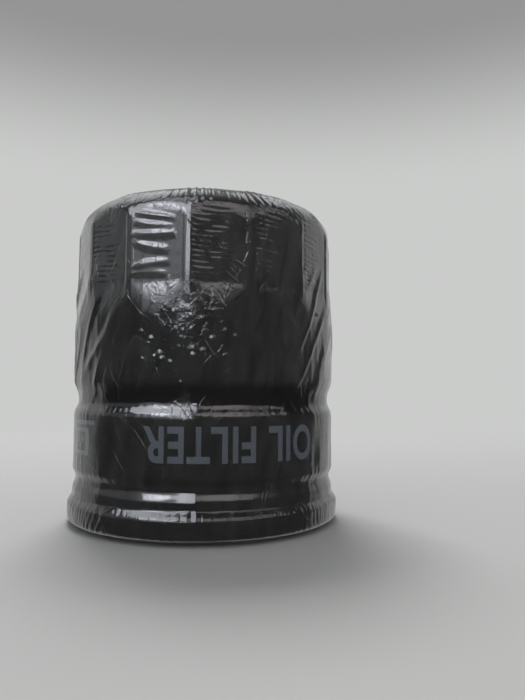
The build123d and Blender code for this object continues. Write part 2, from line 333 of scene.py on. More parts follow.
def arc(centre_r, centre_z, radius, start_deg, end_deg, count=10):
    """Points on an arc of the section; 0 degrees is outwards and 90 is up."""
    turn = np.radians(np.linspace(start_deg, end_deg, count))
    return np.stack([centre_r + radius * np.cos(turn), centre_z + radius * np.sin(turn)], axis=-1)


def fine_near_flutes(r, z):
    """The can's points lie closer on the flutes and the shoulder."""
    return 0.45 if z > 56 and r > 26 else 0.9


def make_can():
    """Drawn cup with rounded flutes, its wall hooked into the seam."""
    outer = spaced(rounded(CAN_CORNERS), fine_near_flutes)
    inner = spaced(rounded([((max(r - SHEET, 0), z - SHEET * (z == TOP_Z)), max(bend - SHEET, 0))
                            for (r, z), bend in CAN_CORNERS]), 1.6)
    hook_r = SEAM_MID_R + SEAM_PITCH
    hook = np.concatenate([
        arc(SEAM_MID_R, SEAM_TURN_Z, SEAM_PITCH - SHEET / 2, -180, 0)[1:],
        [[hook_r - SHEET / 2, HOOK_TOP_Z], [hook_r + SHEET / 2, HOOK_TOP_Z]],
        arc(SEAM_MID_R, SEAM_TURN_Z, SEAM_PITCH + SHEET / 2, 0, -180),
    ])
    section = np.concatenate([outer, hook, inner[::-1][1:]])
    inset = np.concatenate([np.zeros(len(outer)), np.zeros(len(hook)), np.full(len(inner) - 1, SHEET)])
    angle = around(CAN_COLUMNS)[None, :]
    r = fluted(section[:, 0][:, None], section[:, 1][:, None], angle, inset[:, None])
    return turned("can_shell", on_axis(r, section[:, 1][:, None], angle))


# ==== Film ====

FILM_CORNERS = [
    ((FILM_OPENING_R, TOP_Z), 0),
    ((BODY_R, TOP_Z), SHOULDER_R),
    ((BODY_R, 40.2), 6.0),
    ((GROOVE_R + 0.08, 36.7), 4.0),
    ((GROOVE_R + 0.08, 33.9), 5.0),
    ((BAND_R, 31.4), 4.5),
    ((BAND_R, 15.7), 1.5),
    ((NECK_R + 0.12, 13.9), 1.5),
    ((NECK_R + 0.12, 12.7), 3.5),
    ((38.12, 10.5), 3.0),
    ((38.15, 8.4), 1.5),
    ((39.4, 6.3), 1.2),
    ((39.4, 1.4), 1.3),
    ((36.9, 1.4), 0),
]


def film_step(r, z):
    """The film's points lie closest on the flutes, and wider where it is plain."""
    if 62 < z < 86:
        return 0.5
    if r < 34:
        return 0.8
    return 0.7 if z > 40 or z < 16 else 1.0


def rungs(z, angle):
    """Short level folds across each flute, from its left edge to about its middle. One flute has
    coarse, bold folds and the rest have fine ones."""
    rise = np.zeros(np.broadcast(z, angle).shape)
    place = flute_place(angle)[0]
    number = np.floor((angle[0] - FLUTE_RIDGE) / FLUTE_PITCH).astype(int) % FLUTES
    draw = np.random.default_rng(107)
    for flute in range(FLUTES):
        columns = np.nonzero(number == flute)[0]
        coarse = flute == COARSE_FLUTE
        lean_spread, bow_spread = (0.08, 0.011) if coarse else (0.04, 0.004)
        tall_share = (0.11, 0.18) if coarse else (0.012, 0.022)
        pitch = COARSE_RUNG_PITCH if coarse else draw.uniform(1.9, 2.4)
        level = RUNGS_Z[0] + draw.uniform(0, 1)
        while level < RUNGS_Z[1]:
            start = -FLUTE_PITCH / 2 + draw.uniform(0, 2.5)
            end = draw.uniform(1.0, 5.5) + (2.5 if level > 77 else 0)
            lean = draw.normal(-0.05, lean_spread)
            bow = draw.normal(0, bow_spread)
            x = place[columns]
            across = np.sqrt(np.clip(1 - ((2 * x - start - end) / (end - start)) ** 2, 0, 1))
            middle = level + lean * x + bow * x * x
            fade = 0.35 + 0.65 * step_up(level, 66, 71)
            tall = pitch * draw.uniform(*tall_share) * fade
            width = pitch * (draw.uniform(0.18, 0.32) if coarse else 0.28) * (0.3 + 0.7 * across)
            shape = np.exp(-(((z - middle) / width) ** 2))
            rise[:, columns] += tall * shape * across
            level += pitch * draw.uniform(0.6, 1.25)
    return rise


def pleats(u, z, seed, count, skew):
    """Fine folds that run down the film, count of them round it, from 0 to 1."""
    wander = noise(u * 30, z / 6, seed, 30) * 0.5 + noise(u * 8, z / 9, seed + 1, 8) * skew
    wave = 0.5 + 0.5 * np.cos(math.tau * (u * count + wander))
    strength = np.clip(0.6 + 0.75 * noise(u * 41, z / 8, seed + 2, 41), 0, 1)
    return wave ** 1.6 * strength


def wrinkles(r, z, angle):
    """How far the film stands off its mean surface, in millimetres. Each term below starts with its
    full height; u runs from 0 to 1 round the film."""
    u = (angle + 180) / 360
    rise = rungs(z, angle)

    # The film gathers over the shoulder and at the seam, and a little at the band's edges.
    inward = np.clip((BODY_R - r) / SHOULDER_R, 0, 1.4)
    over = step_up(z, 84.2, 86.6) * (0.75 + 0.35 * inward)
    rise += 0.36 * pleats(u + 0.006 * inward, z, 21, 112, 2.0) * over
    rise += 0.13 * pleats(u, z, 31, 118, 1.0) * bump(z, 1.0, 6.4, 2.0)
    rise += 0.09 * pleats(u, z, 41, 104, 0.8) * (bump(z, 29.5, 32.4, 1.6) + bump(z, 14.5, 16, 1))

    # Crinkled patch left of the middle, under the flutes.
    near = wrapped(angle, -9 - 0.35 * (z - 58)) / 9
    patch = np.exp(-(near ** 2)) * bump(z, 47, 63, 4)
    crinkle = np.abs(noise(u * 110, z / 1.9, 51, 110)) + 0.7 * np.abs(noise(u * 70, z / 3.3, 52, 70))
    rise += 0.10 * patch * (1 - crinkle)

    # Slanting folds on the right and the left, where the film stands clear of the can.
    side = step_up(np.abs(wrapped(angle)), 30, 52)
    slant = u * 44 - z / 9
    folds = 1 - np.abs(noise(slant, z / 26 + u * 5, 61, 44)) * 2.2
    rise += 0.50 * np.clip(folds, 0, 1) ** 1.4 * side * bump(z, 41, 66, 8)

    # Faint upright folds, a soft unevenness all over, and a swelling on the right of the band.
    upright = 1 - np.abs(noise(u * 64, z / 16, 63, 64)) * 2
    rise += 0.09 * np.clip(upright, 0, 1) * bump(z, 9, 64, 6)
    soft = noise(u * 28, z / 9, 64, 28) + 0.5 * noise(u * 70, z / 4, 65, 70)
    rise += 0.07 * soft * bump(z, 9, 66, 4)
    proud = np.exp(-((wrapped(angle, 58) / 13) ** 2)) * bump(z, 18, 31, 6)
    rise += 0.55 * proud * (0.7 + 0.3 * noise(u * 80, z / 5, 66, 80))
    return rise


def make_film():
    """Clear film from under the seam to its opening on the dome."""
    line = spaced(rounded(FILM_CORNERS), film_step)
    ahead = np.gradient(line, axis=0)
    normal = np.stack([-ahead[:, 1], ahead[:, 0]], axis=-1)
    normal /= np.linalg.norm(normal, axis=1)[:, None]
    angle = around(FILM_COLUMNS)[None, :]
    r, z = line[:, 0][:, None], line[:, 1][:, None]
    base = fluted(r, z, angle, soften=0.6, ridge_from=10.1)
    rise = FILM_GAP + np.clip(wrinkles(r, z, angle), *FILM_RISE)
    grid = on_axis(base + rise * normal[:, 0][:, None], z + rise * normal[:, 1][:, None], angle)
    return turned("film", grid)


# ==== Materials ====


class Nodes:
    """A short way to wire a material's nodes."""

    def __init__(self, name):
        self.material = bpy.data.materials.new(name)
        self.material.use_nodes = True
        self.tree = self.material.node_tree
        self.shader = self.tree.nodes["Principled BSDF"]
        self.output = self.tree.nodes["Material Output"]
        self.place = self.add("ShaderNodeTexCoord").outputs["Object"]

    def add(self, kind, inputs=None, **settings):
        node = self.tree.nodes.new(kind)
        for key, value in settings.items():
            setattr(node, key, value)
        for key, value in (inputs or {}).items():
            self.feed(node.inputs[key], value)
        return node

    def feed(self, socket, value):
        if isinstance(value, bpy.types.NodeSocket):
            self.tree.links.new(value, socket)
        else:
            socket.default_value = value

    def set(self, **values):
        for key, value in values.items():
            self.feed(self.shader.inputs[key.replace("_", " ")], value)

    def noise(self, size_mm, detail=3.0, rough=0.55, stretch=(1, 1, 1), vector=None):
        scale = self.add("ShaderNodeMapping", {"Vector": vector or self.place, "Scale": stretch})
        node = self.add("ShaderNodeTexNoise", {
            "Vector": scale.outputs[0], "Scale": 1 / (size_mm * MM), "Detail": detail, "Roughness": rough,
        })
        return node.outputs["Fac"]

    def ramp(self, value, *stops):
        node = self.add("ShaderNodeValToRGB", {"Fac": value})
        ramp = node.color_ramp
        while len(ramp.elements) < len(stops):
            ramp.elements.new(0.5)
        for element, (place, colour) in zip(ramp.elements, stops):
            element.position = place
            element.color = colour if isinstance(colour, tuple) else (colour, colour, colour, 1)
        return node.outputs["Color"]

    def math(self, kind, a, b=0.0):
        node = self.add("ShaderNodeMath", operation=kind)
        self.feed(node.inputs[0], a)
        self.feed(node.inputs[1], b)
        return node.outputs[0]

    def times(self, a, b):
        return self.math("MULTIPLY", a, b)

    def plus(self, a, b):
        return self.math("ADD", a, b)

    def minus(self, a, b):
        return self.math("SUBTRACT", a, b)

    def mix(self, factor, a, b):
        node = self.add("ShaderNodeMix", data_type="RGBA")
        self.feed(node.inputs[0], factor)
        self.feed(node.inputs[6], a)
        self.feed(node.inputs[7], b)
        return node.outputs[2]

    def bump(self, height, depth_mm, strength=1.0, before=None):
        inputs = {"Height": height, "Distance": depth_mm * MM, "Strength": strength}
        if before is not None:
            inputs["Normal"] = before
        return self.add("ShaderNodeBump", inputs).outputs[0]

    def between(self, value, low, high):
        """0 at low, 1 at high, smooth between; low may be the larger."""
        node = self.add("ShaderNodeMapRange", {0: value, 1: low, 2: high}, interpolation_type="SMOOTHSTEP")
        return node.outputs[0]

    def between_mm(self, length, low, high):
        return self.between(length, low * MM, high * MM)

    def between_deg(self, turn, low, high):
        return self.between(turn, math.radians(low), math.radians(high))

    def cells(self, size_mm):
        return self.add("ShaderNodeTexVoronoi", {"Vector": self.place, "Scale": 1 / (size_mm * MM)}).outputs

    def surface(self, shader_socket):
        """Shows this shader in place of the plain one."""
        self.tree.links.new(shader_socket, self.output.inputs["Surface"])

    def crease(self, value):
        """Thin lines where the noise passes through its middle."""
        away = self.math("ABSOLUTE", self.minus(value, 0.5))
        return self.between(away, 0.012, 0.0)

    def leaning(self, vector, degrees):
        """The unrolled surface turned by this much, so that what is stretched along it leans."""
        node = self.add("ShaderNodeMapping", {"Vector": vector, "Rotation": (0, 0, math.radians(degrees))})
        return node.outputs[0]

    def polar(self):
        """Distance from the axis and height, in metres, and the turn round the axis in radians."""
        axes = self.add("ShaderNodeSeparateXYZ", {"Vector": self.place}).outputs
        x2 = self.times(axes[0], axes[0])
        y2 = self.times(axes[1], axes[1])
        radius = self.math("SQRT", self.plus(x2, y2))
        turn = self.math("ARCTAN2", axes[0], self.times(axes[1], -1.0))
        return radius, axes[2], turn


def grey(value, tint=(1, 1, 1)):
    """A grey of this value, tinted a little, with its alpha."""
    return (value * tint[0], value * tint[1], value * tint[2], 1)


def enamel():
    """Gloss black stoved enamel over drawn sheet."""
    n = Nodes("gloss_black_enamel")
    peel = n.noise(1.4, 2.0)
    fleck = n.noise(0.35, 4.0, 0.7)
    n.set(Base_Color=n.ramp(fleck, (0.35, grey(0.0085)), (0.75, grey(0.014, (1, 1, 1.03)))))
    n.set(Roughness=n.ramp(n.noise(9.0, 3.0), (0.3, grey(0.11)), (0.75, grey(0.2))))
    n.set(Normal=n.bump(peel, 0.02, 0.35), Specular_IOR_Level=0.5)
    return n.material


def film_ripples(n, height, turn):
    """Fine level ripples across the left two thirds of each flute but the coarse one."""
    turns = n.times(turn, math.degrees(1) / FLUTE_PITCH)
    place = n.math("FRACT", n.plus(turns, 10 - FLUTE_RIDGE / FLUTE_PITCH))
    left = n.times(n.between(place, 0.03, 0.10), n.between(place, 0.80, 0.35))
    rows = n.times(n.between_mm(height, 64.0, 69.0), n.between_mm(height, 86.0, 84.0))
    wander = n.times(n.noise(6.0, 2.0), 1.1)
    count = n.plus(n.times(height, 1 / (RIPPLE_PITCH * MM)), n.times(place, 0.8))
    wave = n.math("SINE", n.times(n.plus(count, wander), math.tau))
    strength = n.between(n.noise(3.0, 2.0), 0.35, 0.6)
    coarse_deg = FLUTE_RIDGE + COARSE_FLUTE * FLUTE_PITCH - 360
    beside = n.math("ABSOLUTE", n.minus(turn, math.radians(coarse_deg + FLUTE_PITCH / 2)))
    strength = n.times(strength, n.between_deg(beside, 11.5, 12.5))
    return n.times(n.times(wave, strength), n.times(left, rows))


def film_gathers(n, height, unrolled):
    """Gathers that run down the film at the shoulder and round the seam, and faintly all over."""
    streaks = n.noise(1.25, 1.5, 0.5, stretch=(1.0, 0.11, 0.11), vector=unrolled)
    dome = n.between_mm(height, 83.5, 87.0)
    seam = n.between_mm(height, 9.0, 7.0)
    return n.times(streaks, n.plus(n.plus(dome, n.times(seam, 0.7)), 0.10))


def from_middle(n, arc_length, height, at, half):
    """How far across and up from a place on the wall, counted in a patch's half sizes."""
    across = n.times(n.plus(arc_length, -at[0] * MM), 1 / (half[0] * MM))
    up = n.times(n.minus(height, at[1] * MM), 1 / (half[1] * MM))
    return across, up


def film_crumple(n, height, arc_length):
    """Curled dents in the crumpled patch below the flutes, left of the middle."""
    across, up = from_middle(n, arc_length, height, CRUMPLE_AT, CRUMPLE_HALF)
    slanted = n.plus(across, n.times(up, 0.2))
    off = n.plus(n.times(slanted, slanted), n.times(up, up))
    broken = n.plus(off, n.times(n.noise(6.0, 3.0), 2.8))
    clumps = n.between(n.noise(2.6, 3.0, 0.6), 0.50, 0.60)
    patch = n.times(n.between(broken, 2.6, 1.5), clumps)
    curls = n.math("ABSOLUTE", n.minus(n.cells(1.9)["Distance"], 0.42))
    dents = n.plus(n.times(n.noise(1.5, 3.0, 0.62), 0.5), n.times(curls, 0.6))
    return n.times(dents, patch)


def film_domes(n, height, arc_length):
    """Small separate domes round the crumpled patch's lower end."""
    spots = n.cells(2.6)
    chance = n.add("ShaderNodeSeparateColor", {"Color": spots["Color"]}).outputs[0]
    domes = n.times(n.between(spots["Distance"], 0.42, 0.0), n.between(chance, 0.50, 0.54))
    across, up = from_middle(n, arc_length, height, DOMES_AT, DOMES_HALF)
    off = n.plus(n.times(across, across), n.times(up, up))
    return n.times(domes, n.between(off, 1.1, 0.7))


def film_creases(n, unrolled):
    """Long creases that lean both ways, here and there on the whole film."""
    rightward = n.crease(n.noise(7.0, 2.0, 0.5, stretch=(1.0, 0.24, 1.0), vector=n.leaning(unrolled, 24)))
    leftward = n.crease(n.noise(7.5, 2.0, 0.5, stretch=(1.0, 0.20, 1.0), vector=n.leaning(unrolled, -37)))
    return n.times(n.plus(rightward, leftward), n.between(n.noise(9.0, 2.0), 0.42, 0.62))


def film_milk_and_painted_light(n, height, turn, unrolled):
    """How milky the film is: most where it is seen edge on. Part of it is painted light: more milk on the
    lower right and on the wall's sides is a painted reflection, and less milk in the groove is painted
    shade.
    """
    grazing = n.add("ShaderNodeLayerWeight", {"Blend": 0.5}).outputs["Facing"]
    drawn = n.noise(2.2, 3.0, 0.6, stretch=(1.0, 0.22, 1.0), vector=n.leaning(unrolled, 12))
    veil = n.ramp(drawn, (0.35, grey(0.35)), (0.7, grey(1.0)))
    thick = n.times(n.math("POWER", grazing, 5.0), 0.21)

    # Faces that are seen square on: the flutes, the lower right where the film stands proud, with a painted
    # reflection added, and the groove, darkened as painted shade.
    fluted_part = n.times(n.between_mm(height, 60.0, 70.0), 0.03)
    lower_right_painted_reflection = n.times(n.between_deg(turn, 40, 58), n.between_mm(height, 35.0, 29.0))
    groove_painted_shade = n.times(n.between_mm(height, 30.5, 33.0), n.between_mm(height, 41.0, 38.0))
    face = n.plus(n.times(lower_right_painted_reflection, 0.07), n.plus(fluted_part, 0.042))
    face = n.times(face, n.minus(1.0, n.times(groove_painted_shade, 0.9)))

    # The wall's sides, the right one most: a painted reflection.
    side_painted_reflection_band = n.times(n.between_mm(height, 37.0, 44.0), n.between_mm(height, 66.0, 58.0))
    rightward = n.plus(n.times(n.between_deg(turn, 0.0, 30), 0.22), 0.14)
    sides = n.times(n.math("POWER", grazing, 2.5), n.times(side_painted_reflection_band, rightward))
    return n.times(n.plus(n.plus(thick, sides), face), veil)


def film_material():
    """Clear shrink film: it mirrors a little, shows what is behind it, and is finely creased."""
    n = Nodes("clear_shrink_film")
    radius, height, turn = n.polar()
    arc_length = n.times(turn, BODY_R * MM)
    unrolled = n.add("ShaderNodeCombineXYZ", {0: arc_length, 1: height, 2: radius}).outputs[0]
    creases = film_creases(n, unrolled)

    # Each relief with its depth in millimetres and its strength.
    normal = n.bump(n.noise(0.8, 3.0, 0.6), 0.05, 0.25)
    normal = n.bump(n.noise(3.6, 2.0, 0.5), 0.16, 0.45, normal)
    normal = n.bump(film_gathers(n, height, unrolled), 0.34, 0.9, normal)
    normal = n.bump(film_ripples(n, height, turn), 0.036, 1.0, normal)
    normal = n.bump(creases, 0.05, 0.8, normal)
    normal = n.bump(film_crumple(n, height, arc_length), 0.42, 0.8, normal)
    normal = n.bump(film_domes(n, height, arc_length), 0.34, 1.0, normal)

    mirror = n.add("ShaderNodeBsdfGlossy", {"Color": grey(1.0), "Roughness": 0.1, "Normal": normal})
    clear = n.add("ShaderNodeBsdfTransparent", {"Color": grey(0.97)})
    haze = n.add("ShaderNodeBsdfDiffuse", {"Color": grey(0.8), "Normal": normal})
    edge = n.add("ShaderNodeFresnel", {"IOR": 1.62, "Normal": normal}).outputs[0]
    both = n.add("ShaderNodeMixShader", {0: n.times(edge, 1.35), 1: clear.outputs[0], 2: mirror.outputs[0]})
    # Milkiness, part of it painted light: a painted reflection on the sides and lower right, and painted
    # shade in the groove.
    milk_and_painted_light = n.plus(film_milk_and_painted_light(n, height, turn, unrolled), n.times(creases, 0.03))
    look = n.add("ShaderNodeMixShader", {0: milk_and_painted_light, 1: both.outputs[0], 2: haze.outputs[0]})
    n.surface(look.outputs[0])
    n.tree.nodes.remove(n.shader)
    return n.material


def rubber(name="black_rubber", colour=grey(0.014)):
    """Moulded rubber, a little paler in patches."""
    n = Nodes(name)
    paler = tuple(min(1, c * 1.7) for c in colour[:3]) + (1,)
    n.set(Base_Color=n.ramp(n.noise(2.5, 4.0), (0.3, colour), (0.8, paler)))
    n.set(Roughness=n.ramp(n.noise(0.8, 4.0), (0.3, grey(0.42)), (0.7, grey(0.62))))
    n.set(Normal=n.bump(n.noise(0.25, 3.0), 0.03, 0.4))
    return n.material


def steel(name, colour, rough=0.32, spangle_mm=3.0):
    """Sheet or plate steel with fine drawing lines round the axis and light staining."""
    n = Nodes(name)
    radius, height, turn = n.polar()
    long_way_round = n.times(turn, 0.0006)
    ring = n.add("ShaderNodeCombineXYZ", {0: radius, 1: height, 2: long_way_round}).outputs[0]
    lines = n.noise(0.12, 3.0, 0.6, vector=ring)
    stain = n.noise(spangle_mm, 4.0, 0.6)
    dark = grey(colour * 0.72, (1.0, 0.98, 0.95))
    n.set(Base_Color=n.ramp(stain, (0.3, dark), (0.65, grey(colour))), Metallic=1.0)
    n.set(Roughness=n.ramp(lines, (0.3, grey(rough * 0.8)), (0.75, grey(rough * 1.35))))
    n.set(Normal=n.bump(lines, 0.01, 0.3))
    return n.material


def paper():
    """Resin-treated filter paper with its fibres upright."""
    n = Nodes("filter_paper")
    fibre = n.noise(0.5, 5.0, 0.7, stretch=(1, 1, 0.25))
    n.set(Base_Color=n.ramp(fibre, (0.25, (0.50, 0.37, 0.17, 1)), (0.75, (0.74, 0.60, 0.33, 1))))
    n.set(Roughness=0.88, Normal=n.bump(fibre, 0.08, 0.6))
    return n.material


def glue():
    """Cured plastisol, blotchy and dull."""
    n = Nodes("plastisol_glue")
    blot = n.noise(1.8, 3.0)
    n.set(Base_Color=n.ramp(blot, (0.3, (0.44, 0.36, 0.24, 1)), (0.7, (0.60, 0.52, 0.38, 1))))
    n.set(Roughness=0.45, Normal=n.bump(blot, 0.15, 0.5))
    return n.material


def ink():
    """Screen-printed grey-blue ink with small pinholes."""
    n = Nodes("printed_ink")
    speck = n.noise(0.3, 2.0)
    n.set(Base_Color=n.ramp(speck, (0.26, (0.12, 0.14, 0.17, 1)), (0.40, (0.26, 0.30, 0.375, 1))))
    n.set(Roughness=0.42, Normal=n.bump(speck, 0.01, 0.3))
    return n.material


# ==== Pieces ====


def dress(obj, material, body=None, node=None):
    """Gives a piece its material, its body, and the node it stands for."""
    obj.data.materials.clear()
    obj.data.materials.append(material)
    if body:
        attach(obj, body)
    if node:
        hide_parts(node)
    return obj


def cut_in_strips(mesh, width):
    """Cuts a flat mesh across X every width, so that it can bend round the can."""
    form = bmesh.new()
    form.from_mesh(mesh)
    bmesh.ops.remove_doubles(form, verts=form.verts, dist=1e-4)
    xs = [v.co.x for v in form.verts]
    for x in np.arange(min(xs) + width, max(xs), width):
        parts = form.verts[:] + form.edges[:] + form.faces[:]
        bmesh.ops.bisect_plane(form, geom=parts, plane_co=(x, 0, 0), plane_no=(1, 0, 0))
    points = [tuple(v.co) for v in form.verts]
    faces = [[v.index for v in f.verts] for f in form.faces]
    form.free()
    return points, faces


def printed(name, flat, from_deg, to_deg, bottom_z, height):
    """Lays a flat mesh on the band, upside down, so that it reads with the dome downwards."""
    strip = 0.02 * max(v.co.x for v in flat.vertices)
    points, faces = cut_in_strips(flat, strip)
    points = np.array(points)
    low, high = points.min(axis=0), points.max(axis=0)
    across = (points[:, 0] - low[0]) / (high[0] - low[0])
    up = (points[:, 1] - low[1]) / (high[1] - low[1])
    angle = from_deg + (to_deg - from_deg) * across
    z = bottom_z + height * (1 - up)
    return mesh_object(name, on_axis(BAND_R + PRINT_STANDS, z, angle), faces)


def lettering(text):
    """A flat mesh of Blender's own typeface, made heavier and set a little wider."""
    curve = bpy.data.curves.new(text, "FONT")
    curve.body = text
    curve.offset = 0.026
    curve.space_character = 1.08
    curve.resolution_u = 6
    holder = bpy.data.objects.new("lettering", curve)
    bpy.context.scene.collection.objects.link(holder)
    bpy.context.view_layer.update()
    mesh = bpy.data.meshes.new_from_object(holder)
    bpy.data.objects.remove(holder)
    return mesh


def flat_shapes(*outlines):
    """A flat mesh of separate convex outlines."""
    points = [(x, y, 0) for outline in outlines for x, y in outline]
    faces = []
    for outline in outlines:
        start = sum(len(f) for f in faces)
        faces.append(list(range(start, start + len(outline))))
    mesh = bpy.data.meshes.new("outlines")
    mesh.from_pydata(points, [], faces)
    return mesh


def oil_drop_sign():
    """A plain drop in a frame under a bar, all of it generic."""
    middle_x, middle_y, radius, tip_y = 3, 3.1, 1.2, 5.8
    turn = np.radians(np.linspace(-60, 240, 15))
    drop = [(middle_x + radius * math.cos(a), middle_y + radius * math.sin(a)) for a in turn]
    drop.append((middle_x, tip_y))
    bars = [(0, 0, 6, 1.1), (0, 6.4, 6, 7.5), (0, 1.1, 1.1, 6.4), (4.9, 1.1, 6, 6.4), (-1.5, -2.1, 6, -1.0)]
    frame_bars = [[(x0, y0), (x1, y0), (x1, y1), (x0, y1)] for x0, y0, x1, y1 in bars]
    return flat_shapes(drop, *frame_bars)


def ring_section(*corners, bend=0.3):
    """The closed section of a ring, all its corners rounded alike."""
    return closed_rounded([(corner, bend) for corner in corners], 0.12)


def make_gasket():
    """Square-cut rubber ring with a moulded line round its face."""
    low, high = GASKET_R
    middle = (low + high) / 2
    section = ring_section(
        (low, 0.5), (low + 0.5, 0), (middle - 0.5, 0), (middle - 0.25, 0.18), (middle + 0.25, 0.18),
        (middle + 0.5, 0), (high - 0.5, 0), (high, 0.5), (high, LID_FLOOR_Z), (low, LID_FLOOR_Z), bend=0.12,
    )
    return lathe("gasket_ring", section)


def make_base_plate():
    """Pressed steel plate with a helical thread through its hub and a ring of inlet holes."""
    bottom, top = PLATE_Z
    outside = spaced(rounded([
        ((BORE_R, bottom), 0),
        ((PLATE_R, bottom), 0.4),
        ((PLATE_R, top), 0.6),
        ((SHOULDER_HUB[0], top), 0.8),
        (SHOULDER_HUB, 0.5),
        ((HUB[0], SHOULDER_HUB[1]), 0.5),
        (HUB, 0.4),
        ((BORE_R, HUB[1]), 0),
    ], 0.2), 1.6)
    heights = np.linspace(HUB[1], bottom, 150)[:, None]
    angle = around(192)[None, :]
    lead = np.abs(((heights / THREAD_PITCH - angle / 360) % 1) - 0.5) * 2
    deep = THREAD_MAJOR_R - THREAD_MINOR_R
    tooth = THREAD_MINOR_R + deep * np.clip((lead - THREAD_ROOT_SHARE) / THREAD_FLANK_SHARE, 0, 1)
    mouth = THREAD_MAJOR_R + THREAD_RELIEF - np.minimum(heights - bottom, HUB[1] - heights)
    bore = on_axis(np.maximum(tooth, mouth), heights, angle)
    wall = on_axis(outside[:, 0][:, None], outside[:, 1][:, None], angle)
    plate = turned("base_plate_pressing", np.concatenate([wall, bore]), closed_section=True)
    burr, rim, past = 0.3, 0.2, 1
    hole = np.array([
        (0, bottom - past), (INLET_R + burr, bottom - past), (INLET_R + burr, bottom),
        (INLET_R, bottom + burr), (INLET_R, top - rim), (INLET_R + rim, top),
        (INLET_R + rim, top + past), (0, top + past),
    ])
    hole = on_axis(hole[:, 0][:, None], hole[:, 1][:, None], around(40)[None, :])
    cutters = []
    for index in range(INLETS):
        turn = 2 * math.pi * index / INLETS
        centre = np.array([INLET_CIRCLE_R * math.cos(turn), INLET_CIRCLE_R * math.sin(turn), 0])
        cutters.append(cutter(hole + centre))
    for tool in cutters:
        cut = plate.modifiers.new("inlet", "BOOLEAN")
        cut.object = tool
        cut.solver = "EXACT"
    graph = bpy.context.evaluated_depsgraph_get()
    plate.data = bpy.data.meshes.new_from_object(plate.evaluated_get(graph))
    plate.modifiers.clear()
    for tool in cutters:
        bpy.data.objects.remove(tool)
    return sharp_at(plate, 40)


def cutter(grid):
    """A closed tool turned from a grid whose end rows meet its own axis."""
    rows, columns = grid.shape[:2]
    middle = grid.mean(axis=1)
    points = [*grid[1:-1].reshape(-1, 3), middle[0], middle[-1]]
    count = rows - 2
    faces = []
    for column in range(columns):
        after = (column + 1) % columns
        for row in range(count - 1):
            a, b = row * columns, (row + 1) * columns
            faces.append([a + column, a + after, b + after, b + column])
        faces.append([count * columns, after, column])
        last = (count - 1) * columns
        faces.append([count * columns + 1, last + column, last + after])
    return mesh_object("hole", points, faces)


def sharp_at(obj, degrees):
    """Smooth shading that breaks at edges sharper than this."""
    obj.data.polygons.foreach_set("use_smooth", [True] * len(obj.data.polygons))
    obj.data.set_sharp_from_angle(angle=math.radians(degrees))
    return obj


def make_anti_drain_valve():
    """Moulded collar with a thin conical flap; its lip rests on the plate outside the inlets."""
    section = closed_rounded([
        ((12.9, 11.45), 0.2), ((15.6, 11.45), 0.2), ((26.6, 9.15), 0.3), ((28.1, 9.15), 0.25),
        ((28.2, 10.25), 0.3), ((15.9, 13.0), 0.7), ((15.6, 14.55), 0.3), ((12.9, 14.55), 0.3),
    ], 0.15)
    return lathe("anti_drain_collar", spaced(section, 0.8), 192)


def folded_sheet(name, corners, thickness, bend=0.7):
    """A cup turned from sheet: the section follows corners, with the sheet on its inner side."""
    line = rounded([(corner, bend) for corner in corners], 0.15)
    ahead = np.gradient(line, axis=0)
    normal = np.stack([-ahead[:, 1], ahead[:, 0]], axis=-1)
    normal /= np.linalg.norm(normal, axis=1)[:, None]
    return lathe(name, np.concatenate([line, (line + normal * thickness)[::-1]]), 192)


def make_lower_end_cap():
    """Steel cup that the paper stands in, its eye turned up round the tube."""
    bottom = ELEMENT_Z[0]
    return folded_sheet("lower_cap_pressing", [
        (CAP_EYE_R, bottom + CAP_EYE_H), (CAP_EYE_R, bottom), (CAP_R, bottom), (CAP_R, bottom + CAP_WALL_H),
    ], CAP_SHEET)


def make_upper_end_cap():
    """Steel cup over the paper, with a shallow sink round the raised seat of the bypass valve."""
    top = ELEMENT_Z[1]
    sunk = top - 0.15
    return folded_sheet("upper_cap_pressing", [
        (CAP_R, top - CAP_WALL_H), (CAP_R, top), (24.0, top), (23.4, sunk),
        (SEAT_HOLE_R + 5.5, sunk), (SEAT_HOLE_R + 5.0, top), (SEAT_HOLE_R, top),
    ], CAP_SHEET, bend=0.6)


def make_pleated_media():
    """Resin-treated paper in soft pleats, with a little waviness down its length."""
    steps = 22
    share = np.arange(PLEATS * steps) / steps
    straight = np.abs((share % 1) * 2 - 1)
    curved = 0.5 - 0.5 * np.cos(math.pi * np.clip((straight - 0.5) * 1.02 + 0.5, 0, 1))
    fold = 0.72 * straight + 0.28 * curved
    low, high = MEDIA_R[0] + PAPER_T / 2, MEDIA_R[1] - PAPER_T / 2
    r = low + (high - low) * fold
    angle = 90 + share * 360 / PLEATS
    heights = np.linspace(*MEDIA_Z, 25)
    middle = on_axis(r[None, :], heights[:, None], angle[None, :])
    uneven = noise(share[None, :] * 2, heights[:, None] / 4, 71, 2 * PLEATS)
    sway = np.sin(heights * 0.55)[:, None] * 0.12 + uneven * 0.06
    ahead = np.roll(middle, -1, axis=1) - np.roll(middle, 1, axis=1)
    ahead /= np.linalg.norm(ahead, axis=-1, keepdims=True)
    side = np.stack([ahead[..., 1], -ahead[..., 0], np.zeros(ahead.shape[:2])], axis=-1)
    free = bump(heights, 20, 72, 3)[:, None]
    middle = middle + side * (sway * (1 - np.abs(2 * fold - 1)) * free)[..., None]
    outer = middle + side * PAPER_T / 2
    inner = middle - side * PAPER_T / 2
    return turned("paper_star", np.concatenate([outer, inner[::-1]]), closed_section=True)


